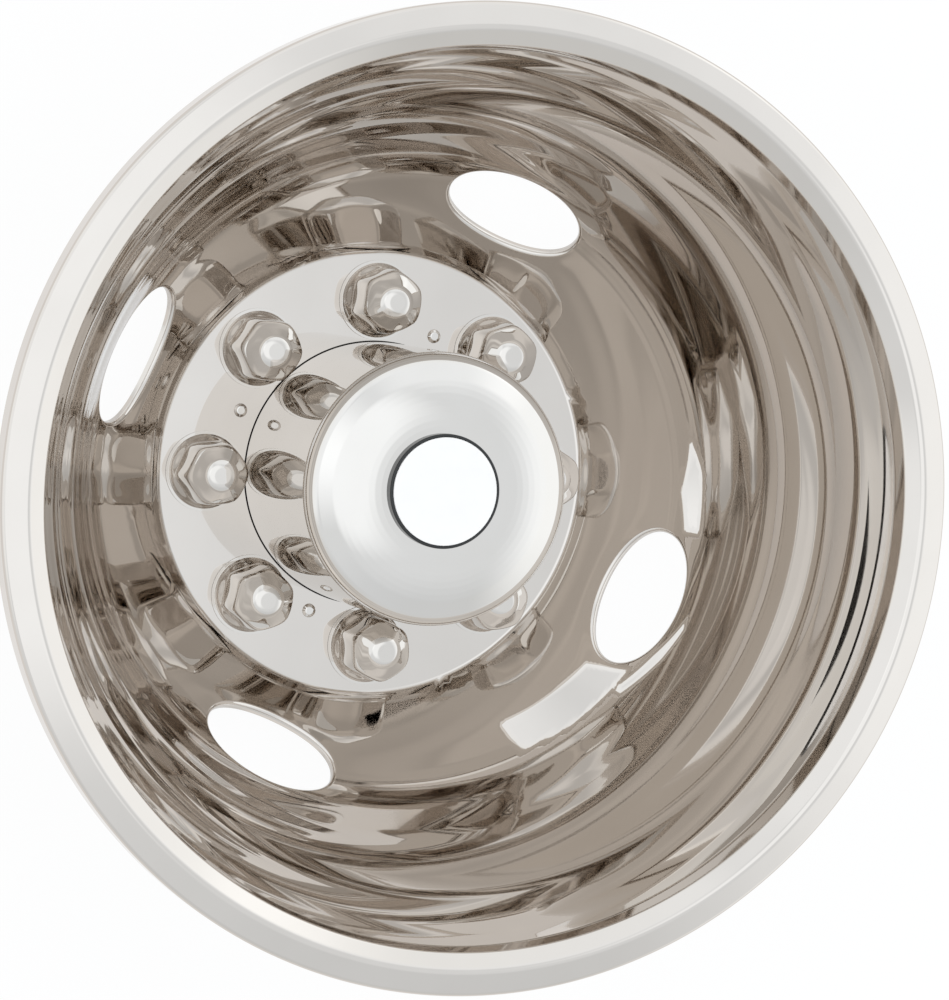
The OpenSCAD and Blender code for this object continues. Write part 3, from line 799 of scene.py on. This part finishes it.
# %% White paper
paper, finish = blank("white_paper_sweep")
path = add(paper, "ShaderNodeLightPath").outputs
where = add(paper, "ShaderNodeTexCoord").outputs["Object"]
away = add(paper, "ShaderNodeVectorMath", {0: where}, operation="LENGTH").outputs["Value"]
under = add(paper, "ShaderNodeMapRange", {"Value": away, "From Min": SHADE_FROM, "From Max": SHADE_TO,
                                          "To Min": SHADE, "To Max": 1.0}).outputs[0]
mirrored = add(paper, "ShaderNodeMath", {0: path["Is Glossy Ray"], 1: under}, operation="MULTIPLY").outputs[0]
seen = add(paper, "ShaderNodeMath", {0: path["Is Camera Ray"], 1: mirrored}, operation="MAXIMUM").outputs[0]
seen = add(paper, "ShaderNodeMath", {0: seen, 1: path["Is Transmission Ray"]}, operation="MAXIMUM").outputs[0]
share = add(paper, "ShaderNodeMath", {0: seen, 1: GLOW_SHARE}, operation="MULTIPLY").outputs[0]
lit = add(paper, "ShaderNodeBsdfDiffuse", {"Color": colour("#f4f4f4")})
glow = add(paper, "ShaderNodeEmission", {"Color": (1, 1, 1, 1), "Strength": 1.0})
finish(add(paper, "ShaderNodeMixShader", {0: share, 1: lit.outputs[0], 2: glow.outputs[0]}))
floor_mesh.materials.append(paper)
print("table:", 2 * FLOOR_HALF, "m wide, in", paper.name)

# %% Camera, from the photograph's perspective
LEAN, ASIDE = 0.343644, -0.246676
CENTRE_SEEN = (-49.167, 12.854, -2092.06)

out_way = np.array([math.sin(LEAN) * math.cos(ASIDE), math.sin(LEAN) * math.sin(ASIDE), math.cos(LEAN)])
right_way = np.array([1, 0, 0]) - out_way[0] * out_way
right_way /= np.linalg.norm(right_way)
axes = np.array([right_way, np.cross(out_way, right_way), out_way])
eye = (axes @ -np.array(CENTRE_SEEN) + [0, 0, RING_UP]) * MM
cam_data = bpy.data.cameras.new("camera")
cam_data.lens, cam_data.sensor_width = 157.82, 36.0
cam_data.clip_end = 30
camera = bpy.data.objects.new("camera", cam_data)
bpy.context.scene.collection.objects.link(camera)
stand = np.eye(4)
stand[:3, :3] = axes
stand[:3, 3] = eye
camera.matrix_world = mathutils.Matrix(stand.tolist())
bpy.context.scene.camera = camera
print("camera at", np.round(eye, 3).tolist(), "m")

# %% World: a white tent
SIDE_TINT, ABOVE_TINT = (1.0, 1.05, 1.085, 1), (1.0, 1.06, 1.115, 1)
ABOVE = ((0.0, 0.0, 1.0), 60, 35, 1.0)
LAMPS = [((-0.08, 0.05, 1.0), 25, 14, 0.36), ((1.0, 0.0, 0.0), 64, 42, 0.36), ((0.3, 0.8, 0.5), 42, 26, 0.22),
         ((-0.72, 0.3, 0.5), 42, 30, 0.25), ((0.1, -1.0, 0.0), 72, 48, -0.14)]

world = bpy.data.worlds.new("tent")
bpy.context.scene.world = world
world.use_nodes = True
world.node_tree.nodes.clear()
world_out = add(world, "ShaderNodeOutputWorld")
ray_way = add(world, "ShaderNodeTexCoord").outputs["Generated"]


def facing(way, start, full, amount, base):
    """Light that grows from the angle start to the angle full round a direction: the
    dot product with it, eased between the cosines of the two angles, on top of base."""
    way = np.array(way, float) / np.linalg.norm(way)
    near = add(world, "ShaderNodeVectorMath", {0: ray_way, 1: way.tolist()}, operation="DOT_PRODUCT")
    lowest, highest = math.cos(math.radians(start)), math.cos(math.radians(full))
    part = add(world, "ShaderNodeMapRange", {"Value": near.outputs["Value"], "From Min": lowest,
                                             "From Max": highest, "To Min": 0.0, "To Max": amount},
               interpolation_type="SMOOTHSTEP")
    return add(world, "ShaderNodeMath", {0: base, 1: part.outputs[0]}, operation="ADD").outputs[0]


light = 1.0
for lamp in LAMPS:
    light = facing(*lamp, light)
above = facing(*ABOVE, 0.0)
tint = add(world, "ShaderNodeMix", {"Factor": above, 6: SIDE_TINT, 7: ABOVE_TINT}, data_type="RGBA")
tent = add(world, "ShaderNodeBackground", {"Color": tint.outputs[2], "Strength": light})
world.node_tree.links.new(tent.outputs[0], world_out.inputs[0])
print("tent:", len(LAMPS), "brighter or dimmer areas")

scene = bpy.context.scene
scene.view_settings.view_transform = "Standard"
scene.cycles.max_bounces = 14
scene.cycles.glossy_bounces = 14
